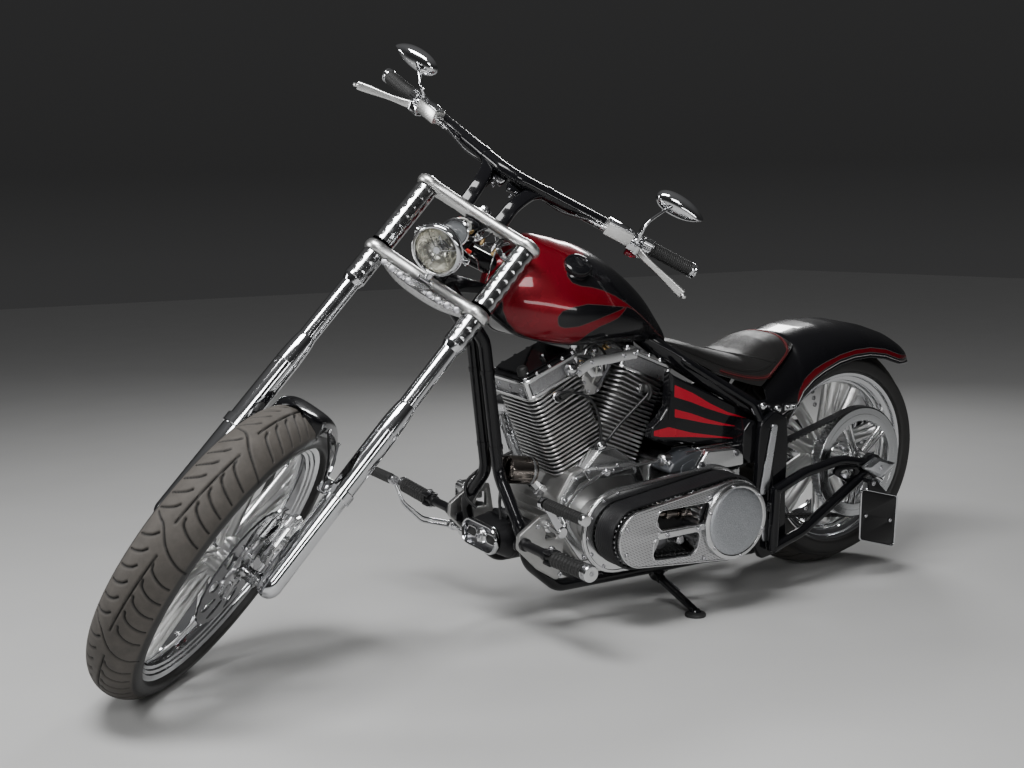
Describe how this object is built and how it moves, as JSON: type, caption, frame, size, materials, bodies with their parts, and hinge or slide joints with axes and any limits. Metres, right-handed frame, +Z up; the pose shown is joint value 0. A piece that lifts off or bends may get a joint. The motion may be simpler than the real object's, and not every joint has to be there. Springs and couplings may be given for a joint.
{
  "type": "chopper motorcycle",
  "caption": "Long raked custom motorcycle with a wide rear tyre, V-twin engine and open belt primary, leaning on its side stand with the bars turned left.",
  "frame": {"origin": "middle of the bounding box at ground level", "axes": "+X the way the motorcycle points, +Y to the rider's left, +Z up; the motorcycle leans towards +Y on its side stand"},
  "size_m": [2.4914, 0.9006, 1.4685],
  "materials": {
    "frame_black": "gloss",
    "body_black": "gloss",
    "red_paint": "candy gloss",
    "cap_black": "satin",
    "leather_black": "smooth",
    "engine_aluminium": "satin",
    "cast_cover": "hammered",
    "chrome_trim": "polished",
    "polished_steel": "polished",
    "polished_aluminium": "polished",
    "stippled_steel": "stippled",
    "belt_black": "matt",
    "plate_black": "gloss",
    "grip_rubber": "matt",
    "tyre_rubber": "used",
    "disc_steel": "polished"
  },
  "bodies": {
    "chassis": {"frame_backbone": "frame_black", "frame_cradle": "frame_black", "frame_rear_uprights": "frame_black", "swingarm_left": "frame_black", "swingarm_right": "frame_black", "rear_axle": "polished_steel", "fuel_tank": "red_paint", "fuel_cap": "cap_black", "seat": "leather_black", "rear_fender": "body_black", "oil_tank": "body_black", "crankcase": "engine_aluminium", "front_cylinder": "engine_aluminium", "rear_cylinder": "engine_aluminium", "rocker_boxes": "cast_cover", "air_cleaner": "chrome_trim", "cam_cover": "chrome_trim", "exhaust_pipes": "chrome_trim", "oil_filter": "chrome_trim", "front_canister": "cap_black", "transmission": "engine_aluminium", "starter_cover": "polished_aluminium", "primary_back_plate": "polished_aluminium", "primary_belt": "belt_black", "primary_outer_plate": "polished_aluminium", "clutch_cover": "stippled_steel", "drive_belt": "belt_black", "foot_controls": "polished_aluminium", "rear_brake_caliper": "chrome_trim", "number_plate": "plate_black"},
    "steering": {"upper_fork_tree": "polished_aluminium", "lower_fork_tree": "polished_aluminium", "fork_tubes": "chrome_trim", "fork_sliders": "chrome_trim", "front_axle": "polished_steel", "headlight": "chrome_trim", "handlebar": "frame_black", "grips": "grip_rubber", "hand_controls": "chrome_trim", "mirrors": "chrome_trim", "front_fender": "body_black", "front_brake_caliper": "chrome_trim"},
    "front_wheel": {"front_tyre": "tyre_rubber", "front_rim": "polished_aluminium", "front_brake_disc": "disc_steel"},
    "rear_wheel": {"rear_tyre": "tyre_rubber", "rear_rim": "polished_aluminium", "rear_pulley": "polished_aluminium", "rear_brake_disc": "disc_steel"},
    "side_stand": {"side_stand": "frame_black"}
  },
  "joints": [
    {"name": "steering_turn", "type": "hinge", "parent": "chassis", "child": "steering", "pos_m": [0.31957, 0.04797, 0.91657], "axis": [-0.6564, 0.0539, 0.7525], "range_deg": [-99, 0]},
    {"name": "front_wheel_spin", "type": "hinge", "parent": "steering", "child": "front_wheel", "pos_m": [0.93284, 0.09127, 0.31884], "axis": [-0.5737, 0.6121, -0.5443], "continuous": true},
    {"name": "rear_wheel_spin", "type": "hinge", "parent": "chassis", "child": "rear_wheel", "pos_m": [-0.9075, 0.00603, 0.33153], "axis": [0, 0.9974, -0.0715], "continuous": true},
    {"name": "side_stand_fold", "type": "hinge", "parent": "chassis", "child": "side_stand", "pos_m": [-0.25249, 0.11045, 0.08197], "axis": [-0.1733, 0.5812, 0.7951], "range_deg": [0, 85.6]}
  ]
}
